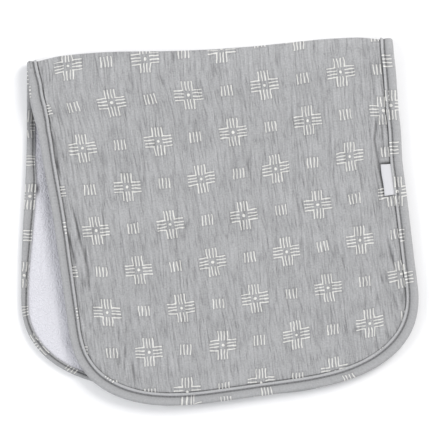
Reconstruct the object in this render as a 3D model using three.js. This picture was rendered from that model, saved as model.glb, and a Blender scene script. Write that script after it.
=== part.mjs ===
// A burp cloth, folded once across its middle and laid on a flat surface, in millimetres.
// The lower flap lies with its printed face down. The upper flap is turned about 8 degrees
// against it, so the towelling lining of the lower flap shows along the left side.
import * as THREE from 'three';

// Cut size: u runs across the cloth, v along it, and v is 0 at the middle of the fold line.
const HALF_WIDTH = 127;
const FRONT_LENGTH = 244.2;
const BACK_LENGTH = 239.3;
const CORNER_ACROSS = 100;
const CORNER_ALONG = 65;
const CORNER_POWER = 2.5;

// The fold line runs slantwise over the cloth, and the cloth turns round it in half a circle.
const FOLD_SLANT = THREE.MathUtils.degToRad(4);
const LOOP_RADIUS = 4.4;
const LOOP_ARC = (LOOP_RADIUS * Math.PI) / 2;
const FALL_LENGTH = 75;

// Thickness of the pieces, counted from the middle surface to each side.
const SEAM_GAP = 0.3;
const FACE_THICKNESS = 1.0;
const LINING_THICKNESS = 1.5;
const BINDING_THICKNESS = 1.0;
const FACE_FROM = SEAM_GAP / 2;
const FACE_TO = FACE_FROM + FACE_THICKNESS;
const LINING_TO = FACE_FROM + LINING_THICKNESS;
const BOUND_FACE_TO = FACE_TO + SEAM_GAP + BINDING_THICKNESS;
const BOUND_LINING_TO = LINING_TO + SEAM_GAP + BINDING_THICKNESS;

// The binding's width on each side, and how far the panels' edges stay inside its fold.
const BINDING_WIDTH = 9;
const BINDING_BEVEL = 0.7;
const PANEL_INSET = BINDING_THICKNESS + SEAM_GAP + 0.5;

// Where the panels leave the binding they sink to the surface, or to the flap below them.
// The upper flap bridges the lower one's binding in a longer slope, up to BRIDGE_END inside it.
const STEP_START = 9.8;
const STEP_END = 22;
const FLAP_GAP = 0.5;
const BRIDGE_END = 60;
const FLOOR_GAP = 0.2;

// The upper flap comes down to the surface past the lower flap's outline.
const DROP_START = 3;
const DROP_END = 38;

// The upper flap's left side stands up a little, and its middle waves softly.
const EDGE_LIFT = 2.5;
const LIFT_WIDTH = 60;
const LIFT_FADE_START = 110;
const LIFT_FADE_END = 215;
const WAVE_HEIGHT = 1.1;
const WAVE_LENGTH = 66;
const WAVE_BEND = { turn: 0.9, length: 55 };

// Sideways drift of the edges as laid: at each distance from the fold, the shift along u.
const FRONT_LEFT_DRIFT = [
  { at: 0, shift: 0 },
  { at: 18, shift: -1.2 },
  { at: 50, shift: 1.6 },
  { at: 112, shift: 3.5 },
];
const FRONT_RIGHT_DRIFT = [
  { at: 0, shift: 0 },
  { at: 24, shift: -1.3 },
  { at: 68, shift: -3.4 },
  { at: 101, shift: -5.5 },
  { at: 180, shift: -6.5 },
];
const BACK_DRIFT = [
  { at: 60, shift: 0 },
  { at: 165, shift: -3.5 },
];
const BACK_SKEW = { share: 0.016, from: 20, to: 200 };

// The fold's line wanders: two soft bulges, and a small fall at each end.
const FOLD_BULGES = [
  { at: -80, width: 48, height: 3.2 },
  { at: 84, width: 40, height: 2.1 },
];
const FOLD_END_FALLS = [
  { side: -1, start: 102, end: 125, height: 2.1 },
  { side: 1, start: 102, end: 125, height: 2.3 },
];
const BULGE_REACH = 75;

// The label: a loop of tape sewn in under the binding at the upper flap's right edge.
const LABEL_START = 96.8;
const LABEL_LENGTH = 21.5;
const LABEL_REACH = 6.4;
const LABEL_THICKNESS = 1.0;
const LABEL_STEPS = 4;

// Mesh steps
const END_INSETS = [PANEL_INSET, 6, STEP_START, 15.5, STEP_END];
const SIDE_INSETS = [PANEL_INSET, 2.7, 5, STEP_START, 15.5, STEP_END, 32, 44, 58, 74, 91, 109];
const LOOP_STEPS = 3;
const PAST_LOOP = [5, 13, 26];
const INNER_ROWS = 6;
const CORNER_STEPS = 11;

function ease(x, from, to) {
  const t = THREE.MathUtils.clamp((x - from) / (to - from), 0, 1);
  return t * t * (3 - 2 * t);
}

function shiftAt(table, distance) {
  let shift = table[0].shift;
  for (let i = 1; i < table.length; i += 1) {
    const low = table[i - 1];
    const high = table[i];
    shift += (high.shift - low.shift) * ease(distance, low.at, high.at);
  }
  return shift;
}

// A flat point's place in the corner's own box, and the slope of the corner's rounding there.
function cornerFrame(u, v) {
  const length = v >= 0 ? FRONT_LENGTH : BACK_LENGTH;
  const across = Math.abs(u) - (HALF_WIDTH - CORNER_ACROSS);
  const along = Math.abs(v) - (length - CORNER_ALONG);
  const x = Math.max(across, 0) / CORNER_ACROSS;
  const y = Math.max(along, 0) / CORNER_ALONG;
  const level = (x ** CORNER_POWER + y ** CORNER_POWER) ** (1 / CORNER_POWER);
  const scale = level > 0 ? level ** (1 - CORNER_POWER) : 0;
  const slopeX = (scale * x ** (CORNER_POWER - 1)) / CORNER_ACROSS;
  const slopeY = (scale * y ** (CORNER_POWER - 1)) / CORNER_ALONG;
  return { length, across, along, level, slope: Math.hypot(slopeX, slopeY) };
}

// How far a flat point lies inside the cloth's outline; it is negative outside.
function depthInside(u, v) {
  const frame = cornerFrame(u, v);
  if (frame.across > 0 && frame.along > 0) {
    return (1 - frame.level) / frame.slope;
  }
  return Math.min(HALF_WIDTH - Math.abs(u), frame.length - Math.abs(v));
}

// A point in the binding's width is moved in to the binding's inner edge.
function movedInside(u, v) {
  if (depthInside(u, v) >= STEP_START) {
    return [u, v];
  }
  const frame = cornerFrame(u, v);
  if (frame.along <= 0) {
    return [Math.sign(u) * (HALF_WIDTH - STEP_START), v];
  }
  if (frame.across <= 0) {
    return [u, Math.sign(v) * (frame.length - STEP_START)];
  }
  const shrink = (1 - STEP_START * frame.slope) / frame.level;
  const newU = HALF_WIDTH - CORNER_ACROSS + frame.across * shrink;
  const newV = frame.length - CORNER_ALONG + frame.along * shrink;
  return [Math.sign(u) * newU, Math.sign(v) * newV];
}

// The end's edge at a distance u from the middle line, set in by the given inset.
function endEdge(u, inset, length) {
  const across = Math.abs(u) - (HALF_WIDTH - CORNER_ACROSS);
  const cornerStart = length - CORNER_ALONG;
  const past = Math.abs(u) - (HALF_WIDTH - inset);
  if (past >= 0) {
    return cornerStart - past;
  }
  const x = Math.max(across, 0) / (CORNER_ACROSS - inset);
  const rise = (1 - x ** CORNER_POWER) ** (1 / CORNER_POWER);
  return cornerStart + (CORNER_ALONG - inset) * rise;
}

// The cloth as laid but not yet folded: p along the fold line, q away from it.
function layOut(u, v) {
  const part = (u + HALF_WIDTH) / (2 * HALF_WIDTH);
  const front = Math.max(v, 0);
  const back = Math.max(-v, 0);
  const left = shiftAt(FRONT_LEFT_DRIFT, front);
  const right = shiftAt(FRONT_RIGHT_DRIFT, front);
  const across = u + left * (1 - part) + right * part + shiftAt(BACK_DRIFT, back);
  const skew = (BACK_SKEW.share * u) / HALF_WIDTH;
  const along = v * (1 + skew * ease(back, BACK_SKEW.from, BACK_SKEW.to));
  return [
    across * Math.cos(FOLD_SLANT) + along * Math.sin(FOLD_SLANT),
    -across * Math.sin(FOLD_SLANT) + along * Math.cos(FOLD_SLANT),
  ];
}

function undoLayOut(p, q) {
  let u = p;
  let v = q;
  for (let i = 0; i < 4; i += 1) {
    const [nowP, nowQ] = layOut(u, v);
    const missP = p - nowP;
    const missQ = q - nowQ;
    u += missP * Math.cos(FOLD_SLANT) - missQ * Math.sin(FOLD_SLANT);
    v += missP * Math.sin(FOLD_SLANT) + missQ * Math.cos(FOLD_SLANT);
  }
  return [u, v];
}

function foldWander(p, q) {
  let wander = 0;
  for (const bulge of FOLD_BULGES) {
    wander += bulge.height * Math.exp(-(((p - bulge.at) / bulge.width) ** 2));
  }
  for (const fall of FOLD_END_FALLS) {
    wander -= fall.height * ease(p * fall.side, fall.start, fall.end);
  }
  return wander * Math.exp(-((q / BULGE_REACH) ** 2));
}

// 1 over the binding and 0 where the panels lie free
function besideBinding(depth) {
  return 1 - ease(depth, STEP_START, STEP_END);
}

// Height of the lower flap's middle surface
function lowerHeight(u, v) {
  return FACE_TO + (BOUND_FACE_TO - FACE_TO) * besideBinding(depthInside(u, v));
}

// Height of the upper flap's middle surface, once it has come down from the fold
function upperHeight(u, v) {
  const [innerU, innerV] = movedInside(u, v);
  const [p, q] = layOut(innerU, innerV);
  const [belowU, belowV] = undoLayOut(p, -q);
  const depthBelow = depthInside(belowU, Math.min(belowV, -1e-6));
  const overBinding = 1 - ease(depthBelow, STEP_START + 2, BRIDGE_END);
  const thicker = BOUND_FACE_TO + BOUND_LINING_TO - FACE_TO - LINING_TO;
  const resting = FACE_TO + 2 * LINING_TO + FLAP_GAP + thicker * overBinding;
  const drop = ease(-depthBelow, DROP_START, DROP_END);
  const own = (BOUND_LINING_TO - LINING_TO) * besideBinding(depthInside(u, v));
  const besideLeft = 1 - ease(innerU + HALF_WIDTH, STEP_START, LIFT_WIDTH);
  const lift = EDGE_LIFT * besideLeft * (1 - ease(innerV, LIFT_FADE_START, LIFT_FADE_END));
  const free = 1 - besideBinding(depthInside(innerU, innerV));
  const bend = WAVE_BEND.turn * Math.sin(innerV / WAVE_BEND.length);
  const phase = (2 * Math.PI * innerU) / WAVE_LENGTH + bend;
  const wave = 0.5 * WAVE_HEIGHT * free * (1 + Math.sin(phase));
  return resting * (1 - drop) + (FLOOR_GAP + LINING_TO) * drop + own + lift + wave;
}

// The middle surface between face and lining, folded and laid down
function middleSurface(u, v) {
  const [p, q] = layOut(u, v);
  const apex = foldWander(p, q);
  const low = lowerHeight(u, v);
  if (q < -LOOP_ARC) {
    return new THREE.Vector3(p, apex - LOOP_RADIUS + (q + LOOP_ARC), low);
  }
  if (q <= LOOP_ARC) {
    const turn = q / LOOP_RADIUS;
    const y = apex - LOOP_RADIUS + LOOP_RADIUS * Math.cos(turn);
    return new THREE.Vector3(p, y, low + LOOP_RADIUS * (1 + Math.sin(turn)));
  }
  const high = upperHeight(u, v);
  const past = Math.min((q - LOOP_ARC) / FALL_LENGTH, 1);
  const fall = 0.5 + 0.5 * Math.cos(Math.PI * past);
  const z = high + Math.max(low + 2 * LOOP_RADIUS - high, 0) * fall;
  return new THREE.Vector3(p, apex - LOOP_RADIUS - (q - LOOP_ARC), z);
}

// The direction out of the printed face
function faceNormal(u, v) {
  const step = 0.05;
  const acrossA = middleSurface(u - step, v);
  const acrossB = middleSurface(u + step, v);
  const alongA = middleSurface(u, v - step);
  const alongB = middleSurface(u, v + step);
  return acrossB.sub(acrossA).cross(alongB.sub(alongA)).normalize().negate();
}

function offsetPoint(u, v, offset) {
  return middleSurface(u, v).addScaledVector(faceNormal(u, v), offset);
}

// A closed sheet between two offsets from the middle surface, over a grid of flat points
function sheetGeometry(grid, from, to) {
  const rows = grid.length;
  const columns = grid[0].length;
  const positions = [];
  for (const offset of [from, to]) {
    for (const row of grid) {
      for (const [u, v] of row) {
        positions.push(...offsetPoint(u, v, offset).toArray());
      }
    }
  }
  const index = (side, i, j) => side * rows * columns + i * columns + j;
  const triangles = [];
  const quad = (a, b, c, d) => triangles.push(a, b, c, a, c, d);
  for (let i = 0; i + 1 < rows; i += 1) {
    for (let j = 0; j + 1 < columns; j += 1) {
      quad(index(0, i, j), index(0, i, j + 1), index(0, i + 1, j + 1), index(0, i + 1, j));
      quad(index(1, i, j), index(1, i + 1, j), index(1, i + 1, j + 1), index(1, i, j + 1));
    }
  }
  for (let i = 0; i + 1 < rows; i += 1) {
    const j = columns - 1;
    quad(index(0, i, 0), index(0, i + 1, 0), index(1, i + 1, 0), index(1, i, 0));
    quad(index(0, i + 1, j), index(0, i, j), index(1, i, j), index(1, i + 1, j));
  }
  for (let j = 0; j + 1 < columns; j += 1) {
    const i = rows - 1;
    quad(index(0, 0, j + 1), index(0, 0, j), index(1, 0, j), index(1, 0, j + 1));
    quad(index(0, i, j), index(0, i, j + 1), index(1, i, j + 1), index(1, i, j));
  }
  return meshFrom(positions, triangles);
}

function meshFrom(positions, triangles) {
  const geometry = new THREE.BufferGeometry();
  geometry.setAttribute('position', new THREE.Float32BufferAttribute(positions, 3));
  geometry.setIndex(triangles);
  geometry.computeVertexNormals();
  return geometry;
}

// Rows that follow the fold line: distances along v from the point where the column meets it
function foldRows() {
  const rows = [];
  for (let i = -LOOP_STEPS; i <= LOOP_STEPS; i += 1) {
    rows.push((LOOP_ARC * i) / LOOP_STEPS);
  }
  const front = PAST_LOOP.map((past) => LOOP_ARC + past);
  const back = front.map((distance) => -distance).reverse();
  return [...back, ...rows, ...front];
}

function between(from, to, steps) {
  const values = [];
  for (let i = 1; i < steps; i += 1) {
    values.push(from + ((to - from) * i) / steps);
  }
  return values;
}

// The v of each mesh row where it crosses the column at u, from the back end to the front end
function columnRows(u) {
  const fold = u * Math.tan(FOLD_SLANT);
  const near = foldRows().map((distance) => fold + distance);
  const front = END_INSETS.map((inset) => endEdge(u, inset, FRONT_LENGTH)).reverse();
  const back = END_INSETS.map((inset) => -endEdge(u, inset, BACK_LENGTH));
  const backInner = between(back[back.length - 1], near[0], INNER_ROWS);
  const frontInner = between(near[near.length - 1], front[0], INNER_ROWS);
  return [...back, ...backInner, ...near, ...frontInner, ...front];
}

function panelGrid() {
  const left = SIDE_INSETS.map((inset) => inset - HALF_WIDTH);
  const right = left.map((u) => -u).reverse();
  const columns = [...left, 0, ...right];
  const byColumn = columns.map((u) => columnRows(u).map((v) => [u, v]));
  return byColumn[0].map((_, i) => byColumn.map((column) => column[i]));
}

// Flat points round the cloth's edge, each as a function of the inset from the outline
function edgeStations() {
  const sideRows = (side) => {
    const rows = columnRows(side * HALF_WIDTH);
    return rows.slice(END_INSETS.length - 1, rows.length - END_INSETS.length + 1);
  };
  const sideStation = (side, v) => (inset) => [side * (HALF_WIDTH - inset), v];
  const cornerStation = (side, end, step) => (inset) => {
    const angle = (Math.PI / 2) * (step / CORNER_STEPS);
    const length = end > 0 ? FRONT_LENGTH : BACK_LENGTH;
    const across = (CORNER_ACROSS - inset) * Math.cos(angle) ** (2 / CORNER_POWER);
    const along = (CORNER_ALONG - inset) * Math.sin(angle) ** (2 / CORNER_POWER);
    const u = HALF_WIDTH - CORNER_ACROSS + across;
    return [side * u, end * (length - CORNER_ALONG + along)];
  };
  const stations = [];
  for (const v of sideRows(1)) {
    stations.push(sideStation(1, v));
  }
  for (let step = 0; step <= CORNER_STEPS; step += 1) {
    stations.push(cornerStation(1, 1, step));
  }
  for (let step = CORNER_STEPS; step >= 0; step -= 1) {
    stations.push(cornerStation(-1, 1, step));
  }
  for (const v of sideRows(-1).reverse()) {
    stations.push(sideStation(-1, v));
  }
  for (let step = 0; step <= CORNER_STEPS; step += 1) {
    stations.push(cornerStation(-1, -1, step));
  }
  for (let step = CORNER_STEPS; step >= 0; step -= 1) {
    stations.push(cornerStation(1, -1, step));
  }
  return stations;
}

// The binding: a strip folded in a U over the raw edges, all the way round
function bindingGeometry() {
  const outFace = BOUND_FACE_TO;
  const inFace = BOUND_FACE_TO - BINDING_THICKNESS;
  const outLining = -BOUND_LINING_TO;
  const inLining = -(BOUND_LINING_TO - BINDING_THICKNESS);
  const section = [
    { inset: BINDING_WIDTH, offset: outFace },
    { inset: BINDING_BEVEL, offset: outFace },
    { inset: 0, offset: outFace - BINDING_BEVEL },
    { inset: 0, offset: outLining + BINDING_BEVEL },
    { inset: BINDING_BEVEL, offset: outLining },
    { inset: BINDING_WIDTH, offset: outLining },
    { inset: BINDING_WIDTH, offset: inLining },
    { inset: BINDING_THICKNESS, offset: inLining },
    { inset: BINDING_THICKNESS, offset: inFace },
    { inset: BINDING_WIDTH, offset: inFace },
  ];
  const stations = edgeStations();
  const positions = [];
  for (const station of stations) {
    for (const { inset, offset } of section) {
      positions.push(...offsetPoint(...station(inset), offset).toArray());
    }
  }
  const triangles = [];
  const count = section.length;
  for (let i = 0; i < stations.length; i += 1) {
    const here = i * count;
    const next = ((i + 1) % stations.length) * count;
    for (let j = 0; j < count; j += 1) {
      const k = (j + 1) % count;
      triangles.push(here + j, next + k, here + k, here + j, next + j, next + k);
    }
  }
  return meshFrom(positions, triangles);
}

// The label lies on the face, from the binding's inner edge inwards
function labelGeometry() {
  const from = FACE_TO + SEAM_GAP;
  const outer = BINDING_WIDTH + SEAM_GAP;
  const insets = [outer + LABEL_REACH, outer + LABEL_REACH / 2, outer];
  const grid = [];
  for (let i = 0; i <= LABEL_STEPS; i += 1) {
    const v = LABEL_START + (LABEL_LENGTH * i) / LABEL_STEPS;
    grid.push(insets.map((inset) => [HALF_WIDTH - inset, v]));
  }
  return sheetGeometry(grid, from, from + LABEL_THICKNESS);
}

function fabric(color, roughness) {
  return new THREE.MeshStandardMaterial({ color, roughness, metalness: 0 });
}

function named(name, geometry, material) {
  const mesh = new THREE.Mesh(geometry, material);
  mesh.name = name;
  return mesh;
}

const muslin = fabric(0xb1b2b4, 0.95);
const towelling = fabric(0xecebf1, 1.0);
const bindingCloth = fabric(0xaeafb0, 0.95);
const labelTape = fabric(0xf4f3f5, 0.8);
const grid = panelGrid();

const cloth = new THREE.Group();
cloth.add(named('face_panel', sheetGeometry(grid, FACE_FROM, FACE_TO), muslin));
cloth.add(named('lining_panel', sheetGeometry(grid, -LINING_TO, -FACE_FROM), towelling));
cloth.add(named('edge_binding', bindingGeometry(), bindingCloth));
cloth.add(named('label', labelGeometry(), labelTape));

// The origin is under the middle of the cloth's box.
const box = new THREE.Box3().setFromObject(cloth);
const centre = box.getCenter(new THREE.Vector3());
cloth.position.set(-centre.x, -centre.y, -box.min.z);

const burpCloth = new THREE.Group();
burpCloth.add(cloth);

export default burpCloth;
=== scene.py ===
# A burp cloth, folded once and laid flat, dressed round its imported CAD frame.
# Lengths are in millimetres until the meshes are made, where they become metres.
import math

import bpy
import numpy as np
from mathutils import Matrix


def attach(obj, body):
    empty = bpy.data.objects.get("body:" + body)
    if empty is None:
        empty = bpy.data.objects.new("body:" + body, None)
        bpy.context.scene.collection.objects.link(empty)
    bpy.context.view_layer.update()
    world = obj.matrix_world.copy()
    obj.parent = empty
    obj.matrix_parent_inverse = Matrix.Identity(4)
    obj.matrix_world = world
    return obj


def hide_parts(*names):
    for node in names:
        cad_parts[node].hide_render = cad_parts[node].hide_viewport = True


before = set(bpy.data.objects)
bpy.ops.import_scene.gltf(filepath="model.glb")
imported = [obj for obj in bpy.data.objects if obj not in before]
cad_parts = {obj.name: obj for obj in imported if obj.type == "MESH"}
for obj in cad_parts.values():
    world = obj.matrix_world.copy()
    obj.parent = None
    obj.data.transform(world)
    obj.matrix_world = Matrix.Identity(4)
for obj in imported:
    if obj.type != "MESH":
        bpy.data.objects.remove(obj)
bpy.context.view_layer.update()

# The camera looks straight down, turned so that the fold rises 3.8 degrees to the right.
# These are metres. The photograph is PHOTO_SIZE pixels wide and high.
PHOTO_SIZE = 430
VIEW_WIDTH = 0.2984
CAMERA_HEIGHT = 1.9
CAMERA_PLANE = 0.006
CAMERA_AT = (0.00063, 0.00612)
CAMERA_ROLL = math.radians(3.8)

# The cloth as cut: u runs across it, v along it, and v is 0 at the middle of the fold line.
HALF_WIDTH = 127.0
FRONT_LENGTH = 244.2
BACK_LENGTH = 239.3
CORNER_ACROSS = 100.0
CORNER_ALONG = 65.0
CORNER_POWER = 2.5

# The fold line runs slantwise over the cloth, which turns round it in half a circle.
FOLD_SLANT = math.radians(4)
LOOP_RADIUS = 4.4
LOOP_ARC = LOOP_RADIUS * math.pi / 2
FALL_LENGTH = 75.0

# Thickness of the pieces, counted from the middle surface to each side
FACE_FROM = 0.15
FACE_TO = 1.15
LINING_TO = 1.65
BOUND_FACE_TO = 2.45
BOUND_LINING_TO = 2.95
PANEL_INSET = 1.8

# How the flaps sink from the binding, bridge it and come down to the surface
STEP_START = 9.8
STEP_END = 22.0
FLAP_GAP = 0.5
BRIDGE_END = 60.0
FLOOR_GAP = 0.2
DROP_START = 3.0
DROP_END = 38.0
EDGE_LIFT = 2.5
LIFT_WIDTH = 60.0
LIFT_FADE = (110.0, 215.0)
WAVE_HEIGHT = 1.1
WAVE_LENGTH = 66.0
WAVE_BEND = (0.9, 55.0)

# Sideways drift of the edges as laid: distance from the fold, and the shift along u
FRONT_LEFT_DRIFT = [(0, 0), (18, -1.2), (50, 1.6), (112, 3.5)]
FRONT_RIGHT_DRIFT = [(0, 0), (24, -1.3), (68, -3.4), (101, -5.5), (180, -6.5)]
BACK_DRIFT = [(60, 0), (165, -3.5)]
BACK_SKEW = (0.016, 20, 200)

# The fold's wandering line: bulges at, width, height, and the falls at its ends
FOLD_BULGES = [(-80, 48, 3.2), (84, 40, 2.1)]
FOLD_END_FALLS = [(-1, 102, 125, 2.1), (1, 102, 125, 2.3)]
BULGE_REACH = 75.0

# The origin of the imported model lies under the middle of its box.
SHIFT = np.array([4.698, 119.776, 0.0])

# The binding's inner edge and its line of stitches on the face side, counted in from the
# cloth's outline. Both lie a little further in on the right.
LIP_FACE = 8.75
SEAM_FACE = 6.3
FACE_SWING = 0.15

# Distance round the outline starts on the right, where the lower flap's straight side begins.
# It passes v = 0 on the left at LEFT_MIDDLE. Round the second place, a shadow of the upper flap is
# painted on the lower flap's binding.
LEFT_MIDDLE = 859.1
FLAP_SHADOW_AT = 908.0

# Where the edge strays on the lining side: distance round the outline, and the edge's inset.
# The stitches there lie LINING_MARGIN nearer to the outline.
LINING_LIPS = [
    (0, 6.0), (915, 5.8), (933, 5.9), (951, 7.6), (967, 7.7), (995, 6.6), (1020, 5.3),
    (1037, 4.9), (1050, 4.3), (1110, 4.5), (1360, 6.0),
]
LINING_MARGIN = 1.3

# Where edge and stitches stray on the face side's left: v, and how much further in they lie
FACE_STRAYS = [
    (-45, 0.0), (-20, -1.6), (-6, -1.6), (2, -1.0), (10, 0.6), (18, 1.1), (26, 1.6), (35, 1.1), (43, 0.0),
]

# Sections of the binding, and its stitches
STATIONS = 1131
STITCH_PITCH = 2.9
STITCH_LENGTH = 2.35
STITCH_RADIUS = 0.21

# A painted shade spot for a pucker in the towelling, whose shape is not modelled: inset from the left
# side, distance along, and half its size
PUCKER_SHADE = (8.8, 99.0, 1.3, 4.5)

# The gauze's crinkle, in shares of its drawn height
CRINKLE = 1.3

# Thin broken creases of the gauze, of close, closer and wide pitch: the widths of their painted shade
# lines and how dark these are painted
CREASE_WIDTHS = (0.2, 0.2, 0.1)
CREASE_DARKNESS = (0.15, 0.11, 0.15)

# The loop label, and the width and darkness of the shadow painted beside it on the gauze
LABEL_START = 96.8
LABEL_LENGTH = 21.5
LABEL_REACH = 6.4
LABEL_SHADOW = 2.6
LABEL_SHADE = 2.3

# The print's marks: half a stroke's width, half the spacing of strokes in an arm and in a tally,
# where an arm starts and ends from the middle, half a tally's height, and the middle dot
STROKE_HALF = 0.37
ARM_SPACING = 1.12
ARM_REACH = (2.9, 9.7)
TALLY_SPACING = 1.2
TALLY_REACH = 3.5
DOT_RADIUS = 1.0

# The print's repeat on the cloth, with the place of one cross
PRINT_PITCH = (26.8, 29.1)
PRINT_ORIGIN = (9.2, 2.2)

# How the print lies off that repeat: its bow at the left and right sides, its drift across
# near the fold and near the end, its sag at the fold, and its pull aside at the fold's left.
# After the bow each has its size, where it sets in or fades, and where its middle is and how
# wide it is, if it has one.
PRINT_BOW = (0.0276, 0.0109)
FOLD_DRIFT = (1.1, 20, 75)
END_DRIFT = (3.6, 192, 238)
PRINT_SAG = (2.0, 5, 35, -60, 25)
PRINT_PULL = (2.0, 100, 114, 30, 18)

# The print's repeat on the binding's strip, which is sewn on a little off its grain
STRIP_PITCH = (29.0, 27.0)
STRIP_BEND = 1.6

# Marks of the strip's print seen in the photograph, on the upper flap and on the lower one:
# the pixel x and y, the motifs passed, the mark's row, and how far further across the strip
# the mark's middle lies, in mm, where the pixel is on an arm or an end of it
STRIP_SEEN_UPPER = [
    (386, 61, -1, 0, 0.0), (390, 106, 0, 0, 0.0), (397, 191, 2, 0, 0.0), (399, 236, 3, 0, 0.0),
    (409, 277, 4, 0, 7.0), (348, 377, 7, -1, -7.5), (267, 391, 9, -1, -7.0), (226, 397, 10, -1, -2.5),
    (190, 397, 11, -1, -8.5), (110, 378, 14, 0, 8.5), (66, 228, 18, 0, 8.5),
]
STRIP_SEEN_LOWER = [
    (33, 126, 23, -1, 5.0), (30, 160, 24, -1, 0.0), (30, 196, 25, -1, 0.0), (28, 236, 26, -1, 0.0),
    (24, 276, 27, -1, 0.0), (41, 342, 29, -1, 0.0),
]
# Where the print is hidden or bare: distance round the outline, motifs passed, and the row's
# place across the strip. The strip's two ends are joined at 588.
STRIP_UNSEEN = [
    (0, -7.8, 7.0), (588, 11.5, 24.5), (588.5, 12.6, 17.9), (800, 19.6, 18.2), (810, 19.9, 21.5),
    (820, 20.2, 21.5), (840, 20.8, 20.5), (852, 21.2, 20.5), (1360, 38.7, 24.0),
]

# Soft creases pressed into the upper flap: depth, width and the photograph's pixels along them
CREASES = [
    (0.6, 0.9, [(57, 95), (60, 115), (64, 130)]),
    (0.7, 0.9, [(53, 135), (58, 165), (62, 181)]),
    (1.1, 1.0, [(68, 232), (72, 249), (76, 265)]),
    (0.6, 0.9, [(84, 240), (87, 260), (89, 280)]),
    (0.9, 1.0, [(387, 238), (390, 250), (393, 262), (395, 270)]),
    (0.6, 0.9, [(384, 270), (387, 285)]),
    (0.8, 1.0, [(392, 292), (396, 305), (398, 315)]),
    (0.4, 0.9, [(369, 60), (370, 100)]),
    (0.9, 1.0, [(73, 207), (78, 230), (84, 252), (88, 268), (90, 292)]),
    (0.6, 0.9, [(126, 341), (125, 352), (124, 378)]),
    (0.4, 0.9, [(131, 360), (134, 380)]),
    (1.1, 1.1, [(376, 118), (374, 140), (376, 152), (380, 171)]),
    (0.5, 0.9, [(203, 104), (206, 114), (209, 123)]),
    (0.5, 0.9, [(167, 352), (168, 370), (169, 384)]),
    (0.5, 0.9, [(102, 199), (104, 228), (105, 257)]),
]

# Base colours of gauze and binding, print, towelling, tape and thread
GREY = (0.391, 0.392, 0.396, 1.0)
INK = (0.790, 0.782, 0.745, 1.0)
WHITE = (0.730, 0.726, 0.770, 1.0)
TAPE = (0.680, 0.680, 0.700, 1.0)
THREAD = (0.230, 0.231, 0.236, 1.0)

# The soft light from all round, and the lamps: name, place in metres, width, power and tint
WORLD_LIGHT = 0.66
LAMPS = [
    ("key", (0.95, 0.65, 1.25), 0.9, 17.0, (1.0, 0.99, 0.98)),
    ("fill", (-1.1, -0.1, 1.1), 1.0, 8.5, (0.97, 0.98, 1.0)),
]

# The panels' UV map: size of its field, and how far the cloth reaches left of and below 0
UV_WIDE = 520.0
UV_TALL = 490.0
UV_LEFT = 130.0
UV_BELOW = 242.5

# Rows and columns of the fine grid in one cell of a panel's hidden side
HIDDEN_STEPS = (4, 6)

# Steps towards the flat point seen at a pixel, and the share of the gap that each one closes
PIXEL_STEPS = 20
PIXEL_SHARE = 0.7

# Where the binding's marks are looked for: spacing round the outline, and reach and spacing inwards
SEARCH_AROUND = 0.5
SEARCH_INWARDS = (14, 0.25)

# A distance in mm that is past the reach of any painted shade line, and the hash's 32 bits
FAR_OFF = 9.0
HASH_BITS = 0xFFFFFFFF


def ease(x, low, high):
    t = np.clip((x - low) / (high - low), 0, 1)
    return t * t * (3 - 2 * t)


def hump(x, width):
    return np.exp(-((x / width) ** 2))


def joined(*columns):
    """Numbers or arrays side by side along a new last axis"""
    return np.stack(np.broadcast_arrays(*columns), axis=-1)


def noise(x, y, seed, wrap=0):
    """Gradient noise of about -1 to 1, which repeats along x after wrap cells if wrap is given."""
    column = np.floor(x).astype(np.int64)
    row = np.floor(y).astype(np.int64)
    across = x - column
    along = y - row

    def knot(dx, dy):
        i = (column + dx) % wrap if wrap else column + dx
        key = (i * 374761393 + (row + dy) * 668265263 + seed * 1442695041) & HASH_BITS
        key = ((key ^ (key >> 13)) * 1274126177) & HASH_BITS
        angle = ((key ^ (key >> 16)) & 0xFFFF) * (2 * math.pi / 65536)
        return np.cos(angle) * (across - dx) + np.sin(angle) * (along - dy)

    mix_x = across ** 3 * (across * (across * 6 - 15) + 10)
    mix_y = along ** 3 * (along * (along * 6 - 15) + 10)
    low = knot(0, 0) * (1 - mix_x) + knot(1, 0) * mix_x
    high = knot(0, 1) * (1 - mix_x) + knot(1, 1) * mix_x
    return 1.5 * (low * (1 - mix_y) + high * mix_y)


def shift_at(table, distance):
    shift = table[0][1] + 0 * distance
    for (low, before), (high, after) in zip(table, table[1:]):
        shift = shift + (after - before) * ease(distance, low, high)
    return shift


def corner_frame(u, v):
    """A flat point's place in the corner's own box, and the slope of the rounding there."""
    length = np.where(v >= 0, FRONT_LENGTH, BACK_LENGTH)
    across = np.abs(u) - (HALF_WIDTH - CORNER_ACROSS)
    along = np.abs(v) - (length - CORNER_ALONG)
    x = np.maximum(across, 0) / CORNER_ACROSS
    y = np.maximum(along, 0) / CORNER_ALONG
    level = np.maximum((x ** CORNER_POWER + y ** CORNER_POWER) ** (1 / CORNER_POWER), 1e-9)
    scale = level ** (1 - CORNER_POWER)
    slope_x = scale * x ** (CORNER_POWER - 1) / CORNER_ACROSS
    slope_y = scale * y ** (CORNER_POWER - 1) / CORNER_ALONG
    return length, across, along, level, np.maximum(np.hypot(slope_x, slope_y), 1e-9)


def depth_inside(u, v):
    """How far a flat point lies inside the cloth's outline; it is negative outside."""
    length, across, along, level, slope = corner_frame(u, v)
    straight = np.minimum(HALF_WIDTH - np.abs(u), length - np.abs(v))
    return np.where((across > 0) & (along > 0), (1 - level) / slope, straight)


def moved_inside(u, v):
    """A point in the binding's width is moved in to the binding's inner edge."""
    length, across, along, level, slope = corner_frame(u, v)
    shrink = (1 - STEP_START * slope) / level
    beside = along <= 0
    below = across <= 0
    corner_u = HALF_WIDTH - CORNER_ACROSS + across * shrink
    corner_v = length - CORNER_ALONG + along * shrink
    new_u = np.where(beside, HALF_WIDTH - STEP_START, np.where(below, np.abs(u), corner_u))
    new_v = np.where(beside, np.abs(v), np.where(below, length - STEP_START, corner_v))
    keep = depth_inside(u, v) >= STEP_START
    return np.where(keep, u, np.sign(u) * new_u), np.where(keep, v, np.sign(v) * new_v)


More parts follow.
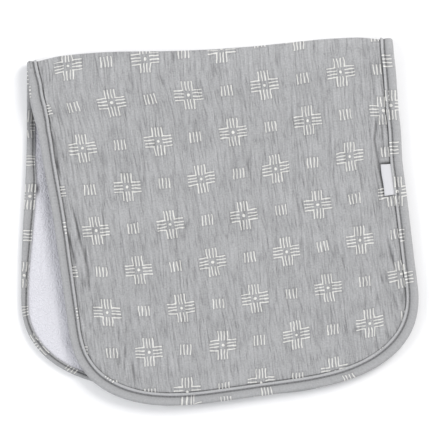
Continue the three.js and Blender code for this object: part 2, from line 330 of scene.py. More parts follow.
def lay_out(u, v):
    """The cloth as laid but not yet folded: p along the fold line, q away from it."""
    part = (u + HALF_WIDTH) / (2 * HALF_WIDTH)
    front = np.maximum(v, 0)
    back = np.maximum(-v, 0)
    left = shift_at(FRONT_LEFT_DRIFT, front)
    right = shift_at(FRONT_RIGHT_DRIFT, front)
    across = u + left * (1 - part) + right * part + shift_at(BACK_DRIFT, back)
    share, low, high = BACK_SKEW
    along = v * (1 + share * u / HALF_WIDTH * ease(back, low, high))
    cos, sin = math.cos(FOLD_SLANT), math.sin(FOLD_SLANT)
    return across * cos + along * sin, along * cos - across * sin


def undo_lay_out(p, q):
    u, v = p, q
    cos, sin = math.cos(FOLD_SLANT), math.sin(FOLD_SLANT)
    for _ in range(4):
        now_p, now_q = lay_out(u, v)
        u = u + (p - now_p) * cos - (q - now_q) * sin
        v = v + (p - now_p) * sin + (q - now_q) * cos
    return u, v


def fold_wander(p, q):
    wander = 0 * p
    for at, width, height in FOLD_BULGES:
        wander = wander + height * hump(p - at, width)
    for side, low, high, height in FOLD_END_FALLS:
        wander = wander - height * ease(p * side, low, high)
    return wander * hump(q, BULGE_REACH)


def beside_binding(depth):
    return 1 - ease(depth, STEP_START, STEP_END)


def lower_height(u, v):
    return FACE_TO + (BOUND_FACE_TO - FACE_TO) * beside_binding(depth_inside(u, v))


def upper_height(u, v):
    inner_u, inner_v = moved_inside(u, v)
    p, q = lay_out(inner_u, inner_v)
    below_u, below_v = undo_lay_out(p, -q)
    depth_below = depth_inside(below_u, np.minimum(below_v, -1e-6))
    over_binding = 1 - ease(depth_below, STEP_START + 2, BRIDGE_END)
    thicker = BOUND_FACE_TO + BOUND_LINING_TO - FACE_TO - LINING_TO
    resting = FACE_TO + 2 * LINING_TO + FLAP_GAP + thicker * over_binding
    drop = ease(-depth_below, DROP_START, DROP_END)
    own = (BOUND_LINING_TO - LINING_TO) * beside_binding(depth_inside(u, v))
    beside_left = 1 - ease(inner_u + HALF_WIDTH, STEP_START, LIFT_WIDTH)
    lift = EDGE_LIFT * beside_left * (1 - ease(inner_v, *LIFT_FADE))
    free = 1 - beside_binding(depth_inside(inner_u, inner_v))
    phase = 2 * math.pi * inner_u / WAVE_LENGTH + WAVE_BEND[0] * np.sin(inner_v / WAVE_BEND[1])
    wave = 0.5 * WAVE_HEIGHT * free * (1 + np.sin(phase))
    return resting * (1 - drop) + (FLOOR_GAP + LINING_TO) * drop + own + lift + wave


def middle_surface(u, v):
    """The surface between face and lining, folded and laid down, as an array of points"""
    p, q = lay_out(u, v)
    apex = fold_wander(p, q)
    low = lower_height(u, v)
    turn = np.clip(q, -LOOP_ARC, LOOP_ARC) / LOOP_RADIUS
    past = np.clip((q - LOOP_ARC) / FALL_LENGTH, 0, 1)
    high = upper_height(u, v)
    gap = np.maximum(low + 2 * LOOP_RADIUS - high, 0)
    upper = high + gap * (0.5 + 0.5 * np.cos(math.pi * past))
    y = apex - LOOP_RADIUS + LOOP_RADIUS * np.cos(turn)
    y = y - np.maximum(np.abs(q) - LOOP_ARC, 0)
    bend = low + LOOP_RADIUS * (1 + np.sin(turn))
    z = np.where(q < -LOOP_ARC, low, np.where(q <= LOOP_ARC, bend, upper))
    return joined(p, y, z)


def face_normal(u, v):
    """The direction out of the printed face"""
    step = 0.15
    across = middle_surface(u + step, v) - middle_surface(u - step, v)
    along = middle_surface(u, v + step) - middle_surface(u, v - step)
    normal = np.cross(along, across)
    return normal / np.linalg.norm(normal, axis=-1, keepdims=True)


def offset_point(u, v, offset):
    return middle_surface(u, v) + face_normal(u, v) * np.asarray(offset)[..., None]


def under_pixels(pixels, side):
    """The flat points seen at pixels of the photograph: side is 1 on the upper flap, -1 below"""
    right, down = ((np.array(pixels) - PHOTO_SIZE / 2) * VIEW_WIDTH * 1000 / PHOTO_SIZE).T
    cos, sin = math.cos(CAMERA_ROLL), math.sin(CAMERA_ROLL)
    x = right * cos - down * sin + CAMERA_AT[0] * 1000 - SHIFT[0]
    y = -right * sin - down * cos + CAMERA_AT[1] * 1000 - SHIFT[1]
    u, v = x, -side * y
    for _ in range(PIXEL_STEPS):
        at = offset_point(u, v, side)
        u = u + PIXEL_SHARE * (x - at[:, 0])
        v = v - PIXEL_SHARE * side * (y - at[:, 1])
    return u, v


def end_edge(u, inset, length):
    """The v of the cloth's end, set in by the given inset, at a distance u from the middle"""
    across = np.maximum(np.abs(u) - (HALF_WIDTH - CORNER_ACROSS), 0)
    x = np.minimum(across / (CORNER_ACROSS - inset), 1)
    rise = (1 - x ** CORNER_POWER) ** (1 / CORNER_POWER)
    return length - CORNER_ALONG + (CORNER_ALONG - inset) * rise


def gathers(u, v):
    """Three smooth patterns, of close, closer and wide pitch, that are 0 along the creases"""
    sway = 0.6 * noise(u / 14, v / 30, 11) + 0.2 * noise(u / 5, v / 14, 12)
    close = noise((u + sway) / 2.5, v / 32, 13)
    closer = noise((u - sway) / 1.5, v / 17, 14)
    wide = noise((u + 2 * sway) / 8, v / 60, 17)
    return close, closer, wide


def crinkle(u, v):
    """The gauze's crinkle on its printed face: lengthwise puffs between thin broken creases"""
    close, closer, wide = gathers(u, v)
    puffs = np.sqrt(close ** 2 + 0.004) - 0.36
    small = np.sqrt(closer ** 2 + 0.006) - 0.36
    lines = -hump(wide, 0.07) * ease(noise(u / 17, v / 37, 18), -0.2, 0.4)
    patches = 0.9 + 0.35 * noise(u / 28, v / 42, 15)
    near_side = hump(HALF_WIDTH - np.abs(u) - LIP_FACE, 16)
    strength = patches + 0.5 * near_side
    fine = CRINKLE * (0.6 * puffs + 0.36 * small)
    return strength * (fine + 0.3 * lines) + 0.12 * noise(u / 11, v / 30, 16)


def pressed_creases(u, v):
    """Depth of the creases, distance from the nearest one, and how deep that one is, which sets how dark
    its painted shade line is
    """
    depth = 0 * u
    closest = np.full_like(u, 1e3)
    deepness = 0 * u
    for deep, width, pixels in CREASES:
        points = list(zip(*under_pixels(pixels, 1)))
        nearest = np.full_like(u, 1e9)
        for (u0, v0), (u1, v1) in zip(points, points[1:]):
            du, dv = u1 - u0, v1 - v0
            t = np.clip(((u - u0) * du + (v - v0) * dv) / (du * du + dv * dv), 0, 1)
            nearest = np.minimum(nearest, np.hypot(u - u0 - t * du, v - v0 - t * dv))
        first, last = points[0][1], points[-1][1]
        fade = ease(v, first - 4, first + 8) * (1 - ease(v, last - 8, last + 4))
        ridge = hump(nearest - 1.7 * width, width)
        depth = depth + deep * fade * (hump(nearest, width) - 0.45 * ridge)
        deepness = np.where(nearest < closest, deep * fade, deepness)
        closest = np.minimum(closest, nearest)
    return depth, closest, deepness


def face_relief(u, v, pressed):
    """How far the printed face stands out from its drawn thickness"""
    depth = depth_inside(u, v)
    free = ease(depth, LIP_FACE - 2.5, LIP_FACE + 1.5)
    tight = 1 - hump(depth - LIP_FACE, 2.2)
    label_end = LABEL_START + LABEL_LENGTH
    under_label = ease(u, HALF_WIDTH - 17.5, HALF_WIDTH - 15)
    under_label = under_label * ease(v, LABEL_START - 3, LABEL_START)
    under_label = under_label * (1 - ease(v, label_end, label_end + 3))
    relief = crinkle(u, v) * (0.45 + 0.55 * tight) - pressed
    relief = relief - 0.35 * (1 - tight)
    stretched = 1 - 0.85 * hump(v - u * math.tan(FOLD_SLANT), 10)
    return np.clip(relief * free * stretched * (1 - 0.8 * under_label), -0.85, 0.6) - 0.1


def face_stray(v):
    """How much further in the lip and the stitches lie at a place on the left side"""
    return np.interp(v, *np.array(FACE_STRAYS).T)


def from_lip(u, v):
    """Distance on the gauze from the painted shade line where it runs in under the binding's lip"""
    lip = LIP_FACE + FACE_SWING * u / HALF_WIDTH + face_stray(v) * (u < 0)
    return depth_inside(u, v) - lip - 0.25


def face_shade(u, v, pressed):
    """Painted shade and light on the gauze: a little darker in the creases and lighter on the puffs
    between them
    """
    puffed = np.clip(crinkle(u, v), -0.9, 0.5)
    return 1 + 0.22 * puffed - 0.15 * np.clip(pressed, -0.3, 1)


def beside_label(u, v):
    """Distance on the gauze outside the label, in shares of the width of the label's painted shadow,
    which is painted at its folded end and above it"""
    to_end = HALF_WIDTH - LIP_FACE - FACE_SWING - LABEL_REACH - 0.4 - u
    to_top = LABEL_START - v
    past_bottom = v - LABEL_START - LABEL_LENGTH + 1.0
    return np.maximum(np.maximum(to_end, to_top), past_bottom) / LABEL_SHADOW


def lining_lip(s):
    """Inset of the binding's inner edge on the lining side"""
    return np.interp(s, *np.array(LINING_LIPS).T)


def terry_shade(u, v):
    """Painted shade: a little darker beside the binding, and a small dark spot where the towelling
    puckers at the left side
    """
    beside = hump(depth_inside(u, v) - lining_lip(LEFT_MIDDLE - v) - 0.2, 0.8)
    reach = np.hypot((u + HALF_WIDTH - PUCKER_SHADE[0]) / PUCKER_SHADE[2], (v + PUCKER_SHADE[1]) / PUCKER_SHADE[3])
    return (1 - 0.2 * beside * (u < 0)) * (1 - 0.85 * hump(reach, 1))


def terry_relief(u, v):
    """The loops of the towelling, their lengthwise rows, and the soft swell of the cloth"""
    free = ease(depth_inside(u, v), 4.5, 7.0)
    loops = noise(u / 1.15, v / 1.3, 21) + 0.6 * noise(u / 0.9, v / 0.95, 22)
    rows = noise(u / 2.1 + 0.4 * noise(u / 9, v / 12, 25), v / 17, 23)
    swell = noise(u / 21, v / 34, 24)
    return free * (0.2 * loops + 0.2 * rows + 0.3 * swell) - 0.15


def scene_object(name, data):
    made = bpy.data.objects.new(name, data)
    bpy.context.scene.collection.objects.link(made)
    return made


def set_inputs(node, values):
    for name, value in values.items():
        node.inputs[name].default_value = value


def mesh_object(name, points, faces, loop_uvs, places, material):
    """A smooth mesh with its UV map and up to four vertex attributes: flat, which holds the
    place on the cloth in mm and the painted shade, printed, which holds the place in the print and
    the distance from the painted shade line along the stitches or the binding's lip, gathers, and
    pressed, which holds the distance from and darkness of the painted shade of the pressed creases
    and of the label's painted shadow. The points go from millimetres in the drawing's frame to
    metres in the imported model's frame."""
    mesh = bpy.data.meshes.new(name)
    points = (points + SHIFT) * 0.001
    mesh.from_pydata(points.reshape(-1, 3).tolist(), [], faces)
    mesh.polygons.foreach_set("use_smooth", [True] * len(mesh.polygons))
    layer = mesh.uv_layers.new(name="OFBake")
    layer.data.foreach_set("uv", np.asarray(loop_uvs, dtype=np.float32).ravel())
    for title, values in places.items():
        attribute = mesh.attributes.new(title, "FLOAT_VECTOR", "POINT")
        attribute.data.foreach_set("vector", np.asarray(values, dtype=np.float32).ravel())
    mesh.validate()
    mesh.update()
    mesh.materials.append(material)
    return scene_object(name, mesh)


def cell_corners(grid, first=0):
    """The four corners of each cell of a grid, whose two directions are first and first + 1"""
    low, high = slice(None, -1), slice(1, None)
    every = (slice(None),) * first
    turns = ((low, low), (low, high), (high, high), (high, low))
    return np.stack([grid[every + turn] for turn in turns], axis=first + 2)


def sheet_uv(u, v):
    return joined((u + UV_LEFT) / UV_WIDE, (v + UV_BELOW) / UV_TALL)


def hidden_cells(rows, columns, row_step, column_step):
    """Coarse cells over a fine grid, which keep every fine point of the grid's border"""
    row_cuts = sorted(set(range(0, rows - 1, row_step)) | {rows - 1})
    column_cuts = sorted(set(range(0, columns - 1, column_step)) | {columns - 1})
    for r0, r1 in zip(row_cuts, row_cuts[1:]):
        for c0, c1 in zip(column_cuts, column_cuts[1:]):
            first = range(c0, c1) if r0 == 0 else [c0]
            right = range(r0, r1) if c1 == columns - 1 else [r0]
            last = range(c1, c0, -1) if r1 == rows - 1 else [c1]
            left = range(r1, r0, -1) if c0 == 0 else [r1]
            yield ([(r0, c) for c in first] + [(r, c1) for r in right]
                   + [(r1, c) for c in last] + [(r, c0) for r in left])


def face_print(u, v):
    """Place in the print, which bows a little towards the sides and drifts near both ends,
    and is pulled aside where the fold crosses the left side"""
    size, low, high, at, width = PRINT_PULL
    pull = size * ease(-u, low, high) * hump(v - at, width)
    size, low, high, at, width = PRINT_SAG
    sag = size * hump(u - at, width) * (1 - ease(v, low, high))
    bowed = v * (1 + np.where(u < 0, *PRINT_BOW) * np.abs(u / 100) ** 3) - sag + 0.8 * pull
    size, low, high = FOLD_DRIFT
    drift = size * (1 - ease(v, low, high))
    size, low, high = END_DRIFT
    drift = size * ease(v, low, high) + drift - pull
    return u + drift - PRINT_ORIGIN[0], bowed - PRINT_ORIGIN[1], from_lip(u, v)


def cloth_sheet(name, u, v, shown, hidden, places_shown, flip, material):
    """A closed sheet: a fine shown side, a coarse hidden side, and a wall round the border"""
    rows, columns = u.shape
    shown_uv = sheet_uv(u, v).reshape(-1, 2)
    wall_uv = sheet_uv(u * 1.012, v * 1.006).reshape(-1, 2)
    quads = cell_corners(np.arange(rows * columns).reshape(rows, columns)).reshape(-1, 4)
    if flip:
        quads = quads[:, ::-1]
    faces = quads.tolist()
    uvs = [shown_uv[quads].reshape(-1, 2)]
    number = {}
    cells = list(hidden_cells(rows, columns, *HIDDEN_STEPS))
    for cell in cells:
        for place in cell:
            number.setdefault(place, rows * columns + len(number))
    places = np.array([r * columns + c for r, c in number])
    hidden_uv = shown_uv + [0.5, 0.0]
    for cell in cells:
        order = cell if flip else cell[::-1]
        faces.append([number[place] for place in order])
        uvs.append(hidden_uv[[r * columns + c for r, c in order]])
    border = next(hidden_cells(rows, columns, rows, columns))
    for here, after in zip(border, border[1:] + border[:1]):
        a, b = (r * columns + c for r, c in (here, after))
        wall = [a, number[here], number[after], b]
        wall_corners = np.stack([shown_uv[a], wall_uv[a], wall_uv[b], shown_uv[b]])
        faces.append(wall[::-1] if flip else wall)
        uvs.append(wall_corners[::-1] if flip else wall_corners)
    points = np.concatenate([shown.reshape(-1, 3), hidden.reshape(-1, 3)[places]])
    attributes = {}
    for title, values in places_shown.items():
        column = joined(*values).reshape(-1, 3)
        attributes[title] = np.concatenate([column, column[places]])
    return mesh_object(name, points, faces, np.concatenate(uvs), attributes, material)


def column_rows(u, back_step, loop_step, front_step):
    """For each column at u, the v of its rows from the back end to the front end"""
    fold = u * math.tan(FOLD_SLANT)
    near = LOOP_ARC + 5
    loop = np.linspace(-near, near, int(2 * near / loop_step) + 1)[:, None] + fold
    front_end = end_edge(u, PANEL_INSET, FRONT_LENGTH)
    back_end = -end_edge(u, PANEL_INSET, BACK_LENGTH)
    front = np.linspace(0, 1, int(FRONT_LENGTH / front_step))[1:, None]
    back = np.linspace(1, 0, int(BACK_LENGTH / back_step))[:-1, None]
    return np.concatenate([
        loop[0] + (back_end - loop[0]) * back,
        loop,
        loop[-1] + (front_end - loop[-1]) * front,
    ])


def on_surface(points):
    """Nothing dips under the surface that the cloth lies on."""
    points[..., 2] = np.maximum(points[..., 2], 0.03)
    return points


def muslin_sheet(material):
    edge = HALF_WIDTH - PANEL_INSET
    columns = np.linspace(-edge, edge, 421)
    v = column_rows(columns, 5.0, 0.8, 2.3)
    u = np.broadcast_to(columns, v.shape)
    pressed, nearest, deepness = pressed_creases(u, v)
    # The label's painted shadow goes in with the painted shade of the pressed creases
    to_label = beside_label(u, v)
    deepness = np.where(to_label < nearest, LABEL_SHADE, deepness)
    nearest = np.minimum(to_label, nearest)
    shown = on_surface(offset_point(u, v, FACE_TO + face_relief(u, v, pressed)))
    hidden = offset_point(u, v, FACE_FROM)
    places = {
        "flat": (u, v, face_shade(u, v, pressed)),
        "printed": face_print(u, v),
        "gathers": gathers(u, v),
        "pressed": (nearest, deepness, 0.0),
    }
    return cloth_sheet("muslin_face", u, v, shown, hidden, places, True, material)


def terry_sheet(material):
    edge = HALF_WIDTH - PANEL_INSET
    columns = np.concatenate([
        np.linspace(-edge, -121, 4)[:-1],
        np.arange(-121, -50, 0.62),
        np.linspace(-50, edge, 52),
    ])
    v = column_rows(columns, 0.8, 0.9, 5.0)
    u = np.broadcast_to(columns, v.shape)
    shown = offset_point(u, v, -LINING_TO - terry_relief(u, v))
    hidden = offset_point(u, v, -FACE_FROM)
    places = {"flat": (u, v, terry_shade(u, v))}
    return cloth_sheet("terry_lining", u, v, shown, hidden, places, False, material)


def outline_path():
    """Points on the cloth's outline and the way in from each, evenly spaced round it"""
    corner = np.linspace(0, math.pi / 2, 1500)
    cos = np.cos(corner) ** (2 / CORNER_POWER)
    sin = np.sin(corner) ** (2 / CORNER_POWER)
    parts = []

    def side(sign, low, high):
        v = np.linspace(low, high, 400)
        parts.append((joined(sign * HALF_WIDTH, v), joined(-sign, 0 * v)))

    def turn(sign, end, length, order):
        u = sign * (HALF_WIDTH - CORNER_ACROSS + CORNER_ACROSS * cos)
        v = end * (length - CORNER_ALONG + CORNER_ALONG * sin)
        parts.append((joined(u, v)[::order], joined(-sign * cos, -end * sin)[::order]))

    front, back = FRONT_LENGTH - CORNER_ALONG, BACK_LENGTH - CORNER_ALONG
    side(1, -back, front)
    turn(1, 1, FRONT_LENGTH, 1)
    turn(-1, 1, FRONT_LENGTH, -1)
    side(-1, front, -back)
    turn(-1, -1, BACK_LENGTH, 1)
    turn(1, -1, BACK_LENGTH, -1)
    starts, ways = (np.concatenate([*column, column[0][:1]]) for column in zip(*parts))
    steps = np.linalg.norm(np.diff(starts, axis=0), axis=1)
    travelled = np.concatenate([[0], np.cumsum(steps)])
    return travelled[-1], travelled, starts, ways


LENGTH_ROUND, TRAVELLED, OUTLINE, WAYS_IN = outline_path()


def edge_point(s, inset):
    """The flat point at a distance s round the outline, moved in by an inset"""
    s = np.mod(s, LENGTH_ROUND)
    start_u, start_v, way_u, way_v = (
        np.interp(s, TRAVELLED, column) for column in (*OUTLINE.T, *WAYS_IN.T))
    return start_u + inset * way_u, start_v + inset * way_v


def round_noise(s, scale, row, seed):
    """Noise along the outline that closes on itself"""
    cells = round(LENGTH_ROUND / scale)
    return noise(s * cells / LENGTH_ROUND, row + 0 * s, seed, cells)


def seam_lines(s):
    """Insets of the lips and stitch lines on the face side and on the lining side"""
    side = edge_point(s, 0)[0] / HALF_WIDTH
    stray = face_stray(LEFT_MIDDLE - s)
    lip_face = LIP_FACE + FACE_SWING * side + stray + 0.18 * round_noise(s, 13, 0, 31)
    seam_face = SEAM_FACE + FACE_SWING * side + stray + 0.14 * round_noise(s, 21, 0, 32)
    seam_lining = lining_lip(np.mod(s, LENGTH_ROUND)) - LINING_MARGIN
    seam_lining = seam_lining + 0.15 * round_noise(s, 30, 0, 33)
    lip_lining = seam_lining + LINING_MARGIN + 0.12 * round_noise(s, 12, 0, 34)
    return lip_face, seam_face, lip_lining, seam_lining


def dimples(s):
    """1 halfway between two needle holes and 0 at the holes"""
    return np.abs(np.sin(math.pi * s / STITCH_PITCH))


def binding_profile(s):
    """Inset and offset of each point of the binding's section, at each station"""
    lip, seam, low_lip, low_seam = seam_lines(s)
    puff = 1 + 0.07 * round_noise(s, 7, 0, 35)
    low_puff = 1 + 0.05 * round_noise(s, 8, 0, 36)
    lip_top = 2.3 + 0.12 * round_noise(s, 6, 0, 37)
    floor = 1.28 + 0.12 * dimples(s)
    low_floor = -1.8 - 0.14 * dimples(s)
    rows = [
        (lip - 0.45, 1.24), (lip - 0.12, 1.45), (lip, 1.8), (lip - 0.15, lip_top - 0.2),
        (lip - 0.45, lip_top - 0.05), (lip - 0.9, lip_top), (seam + 1.3, lip_top - 0.03),
        (seam + 0.9, lip_top - 0.15), (seam + 0.58, 1.92), (seam + 0.3, floor + 0.22),
        (seam, floor), (seam - 0.3, floor + 0.2), (seam - 0.6, 1.85), (seam - 1.0, 2.06 * puff),
        (seam - 1.7, 2.2 * puff), (seam - 2.5, 2.32 * puff), (2.35, 2.34 * puff),
        (1.55, 2.25 * puff), (0.9, 1.98 * puff), (0.4, 1.45 * puff), (0.1, 0.75), (0, -0.1),
        (0, -0.8), (0.1, -1.45), (0.4, -2.05 * low_puff), (0.9, -2.5 * low_puff),
        (1.55, -2.72 * low_puff), (np.minimum(2.35, low_seam - 1.1), -2.8 * low_puff),
        (low_seam - 0.85, -2.75 * low_puff), (low_seam - 0.55, -2.5 * low_puff),
        (low_seam - 0.28, low_floor - 0.2), (low_seam, low_floor),
        (low_seam + 0.3, low_floor - 0.2), (low_seam + 0.55, -2.5), (low_lip - 0.4, -2.6),
        (low_lip - 0.08, -2.4), (low_lip, -2.1), (low_lip - 0.2, -1.76), (low_lip - 1.2, -1.72),
        (3.0, -1.72), (1.3, -1.72), (1.3, 1.2), (3.0, 1.2), (lip - 2.0, 1.2),
    ]
    return (joined(*column) for column in zip(*rows))


def strip_place(inset, offset):
    """Distance across the strip: 0 at the cloth's edge, positive on the face side"""
    above = inset + STRIP_BEND * np.minimum(offset, 1)
    below = -inset + STRIP_BEND * np.maximum(offset, -1)
    return np.where(offset > 0, above, below)


def strip_print():
    """Distances round the outline, and the motifs passed and the row's place across at each"""
    rows = list(STRIP_UNSEEN)
    reach, spacing = SEARCH_INWARDS
    inwards = np.arange(0, reach, spacing)
    around, inset = np.meshgrid(np.arange(0, LENGTH_ROUND, SEARCH_AROUND), inwards)
    edge_u, edge_v = edge_point(around, inset)
    for side, marks in ((1, STRIP_SEEN_UPPER), (-1, STRIP_SEEN_LOWER)):
        u, v = under_pixels([mark[:2] for mark in marks], side)
        for mark, mark_u, mark_v in zip(marks, u, v):
            motif, row, further = mark[2:]
            nearest = np.hypot(edge_u - mark_u, edge_v - mark_v).argmin()
            across = strip_place(inset.flat[nearest], side)
            rows.append((around.flat[nearest], motif, across + further - row * STRIP_PITCH[1]))
    return np.array(sorted(rows)).T


def binding_ring(material):
    s = np.linspace(0, LENGTH_ROUND, STATIONS + 1)[:-1]
    inset, offset = binding_profile(s)
    around = np.broadcast_to(s[:, None], inset.shape)
    outer = (offset > 1.24) | (offset < -1.76) | (inset < 1.2)
    cells = round(LENGTH_ROUND / 3.4)
    place = around * cells / LENGTH_ROUND
    across = strip_place(inset, offset)
    wrinkle = noise(place, across / 7, 38, cells)
    fine = noise(place * 2 % (2 * cells), across / 3, 39, 2 * cells)
    between_seams = 1 - hump(inset - 5.5, 1.1)
    ripple = (0.13 * wrinkle + 0.05 * fine) * outer * between_seams * ease(inset, 0.2, 1.2)
    offset = offset + np.sign(offset) * ripple
    u, v = edge_point(around, inset)
    points = on_surface(offset_point(u, v, offset))
    lip, seam, _, low_seam = (line[:, None] for line in seam_lines(s))
    from_seam = np.where(offset > 0, inset - seam, inset - low_seam)
    ridge = np.where(offset > 0, inset - (lip + seam) / 2 - 0.2, FAR_OFF)
    # Painted shade and light on the binding: darker on its outer side towards the stitches, a painted
    # highlight on the ridge between stitches and lip, and a painted shadow of the upper flap on the lower
    # flap's side
    slope = 0.2 * hump(from_seam, 2.4) * (from_seam < 0)
    shade = 1 - outer * (slope - 0.16 * hump(ridge, 0.7))
    shade = shade * (1 - 0.22 * hump(around - FLAP_SHADOW_AT, 20) * (offset < 0))
    count = inset.shape[1]
    stations = np.arange(STATIONS)[:, None]
    section = np.arange(count)
    ring = np.pad(stations * count + section, ((0, 1), (0, 1)), mode="wrap")
    quads = cell_corners(ring)[..., [0, 3, 2, 1]].reshape(-1, 4)
    lanes = 3
    per_lane = STATIONS // lanes
    lane = stations // per_lane
    x0 = (stations - lane * per_lane) / per_lane
    x1 = x0 + 1 / per_lane
    y0 = (lane + 0.02 + 0.96 * section / count) / lanes
    y1 = y0 + 0.96 / count / lanes
    corners = ((x0, y0), (x1, y0), (x1, y1), (x0, y1))
    uvs = np.stack([joined(*corner) for corner in corners], axis=2)
    across = strip_place(inset, offset)
    flat = joined(around, across, shade)
    places, motifs, middles = strip_print()
    print_x = STRIP_PITCH[0] * np.interp(around, places, motifs)
    print_y = across - np.interp(around, places, middles)
    printed = joined(print_x, print_y, np.where(outer, from_seam, FAR_OFF))
    attributes = {"flat": flat, "printed": printed, "gathers": np.ones_like(flat)}
    return mesh_object("edge_strip", points, quads.tolist(), uvs, attributes, material)


def tube_chain(name, centres, sideways, upward, radius, material):
    """Many short round tubes with closed ends: centres is tubes x sections x 3"""
    tubes, sections, _ = centres.shape
    sides = 6
    angle = np.arange(sides) * (2 * math.pi / sides)
    taper = np.array([0.45] + [1.0] * (sections - 2) + [0.45])[:, None, None]
    ring = (np.cos(angle)[:, None] * sideways[:, :, None, :]
            + np.sin(angle)[:, None] * upward[:, :, None, :])
    points = centres[:, :, None, :] + radius * taper * ring
    rings = np.arange(tubes * sections * sides).reshape(tubes, sections, sides)
    closed = np.pad(rings, ((0, 0), (0, 0), (0, 1)), mode="wrap")
    walls = cell_corners(closed, 1).reshape(-1, 4)
    caps = [cap.tolist() for tube in rings for cap in (tube[0, ::-1], tube[-1])]
    grid = math.ceil(math.sqrt(tubes))
    column, line = np.arange(tubes) % grid, np.arange(tubes) // grid
    across = np.arange(sides + 1) / sides
    along = (np.arange(sections) / (sections + 3) + 1 / (sections + 3))[:, None]
    x = (column[:, None, None] + 0.05 + 0.9 * across) / grid
    y = (line[:, None, None] + 0.05 + 0.9 * along) / grid
    wall_uv = cell_corners(joined(x, y), 1)
    circle = 0.5 + 0.5 * joined(np.cos(angle), np.sin(angle))
    corner = joined(column, line)[:, None]
    cap_uv = [corner + [0.05, low] + 0.1 * circle[::order] for low, order in ((0.02, -1), (0.87, 1))]
    cap_uv = np.stack(cap_uv, axis=1) / grid
    uvs = np.concatenate([wall_uv.reshape(-1, 2), cap_uv.reshape(-1, 2)])
    return mesh_object(name, points, walls.tolist() + caps, uvs, {}, material)


def stitching(material):
    """Two rows of lockstitches round the binding, one on each side of the cloth"""
    count = int(LENGTH_ROUND / STITCH_PITCH)
    part = np.linspace(0, 1, 6)
    middle = (np.arange(count) + 0.5) * STITCH_PITCH
    s = middle[:, None] + (part[None, :] - 0.5) * STITCH_LENGTH
    rise = np.sin(math.pi * part)[None, :]
    _, seam, _, low_seam = seam_lines(s)
    rows = []
    for inset, base, sign in ((seam, 1.36, 1), (low_seam, -1.86, -1)):
        u, v = edge_point(s, inset)
        centre = offset_point(u, v, base + sign * 0.26 * rise)
        ahead = middle_surface(*edge_point(s + 0.3, inset)) - middle_surface(u, v)
        up = sign * face_normal(u, v)
        aside = np.cross(up, ahead)
        aside = aside / np.linalg.norm(aside, axis=-1, keepdims=True)
        rows.append((centre, aside, up))
    centres, aside, up = (np.concatenate(parts) for parts in zip(*rows))
    return tube_chain("stitching", centres, aside, up, STITCH_RADIUS, material)


def label_loop(material):
    """A loop of woven tape that comes out from under the binding's lip"""
    beside = LABEL_START + LABEL_LENGTH / 2 + BACK_LENGTH - CORNER_ALONG
    lip = float(seam_lines(np.array([beside]))[0][0])
    root = lip + 0.02
    tip = root + LABEL_REACH + 0.35
    profile = [
        (root, 1.32), (root + 2.0, 1.3), (root + 4.4, 1.3), (tip - 0.9, 1.3),
        (tip - 0.42, 1.36), (tip - 0.12, 1.54), (tip, 1.82), (tip - 0.12, 2.1), (tip - 0.42, 2.3),
        (tip - 0.9, 2.38), (root + 4.4, 2.4), (root + 2.0, 2.28), (root, 2.06),
        (root, 1.86), (root + 2.0, 2.06), (root + 4.4, 2.18), (tip - 0.9, 2.16),
        (tip - 0.45, 2.04), (tip - 0.3, 1.82), (tip - 0.45, 1.6),
        (tip - 0.9, 1.52), (root + 4.4, 1.52), (root + 2.0, 1.52), (root, 1.54),
    ]
    inset, offset = np.array(profile).T
    steps = 27
    t = np.linspace(0, 1, steps)[:, None]
    far = (inset - root) / (tip - root)
    u = HALF_WIDTH - inset - 0.18 * np.sin(2.1 * math.pi * t) * far
    v = LABEL_START + LABEL_LENGTH * t + 0.25 * far * (2 * t - 1)
    lift = 0.12 * np.sin(math.pi * t) * (offset > 1.85) * far
    points = offset_point(u, v, offset + lift)
    count = len(profile)
    rings = np.arange(steps * count).reshape(steps, count)
    walls = cell_corners(np.pad(rings, ((0, 0), (0, 1)), mode="wrap")).reshape(-1, 4)
    caps = [rings[0, ::-1].tolist(), rings[-1].tolist()]
    wall_uv = cell_corners(joined(np.arange(count + 1) / (count + 1), 0.1 + 0.8 * t))
    cap = joined(inset - root, offset - 1.2) / 20
    cap_uv = [cap[::-1] + [0.0, 0.0], cap + [0.0, 0.92]]
    uvs = np.concatenate([wall_uv.reshape(-1, 2), *cap_uv])
    places = {"flat": joined(inset, v, 1.0)}
    return mesh_object("loop_label", points, walls.tolist() + caps, uvs, places, material)


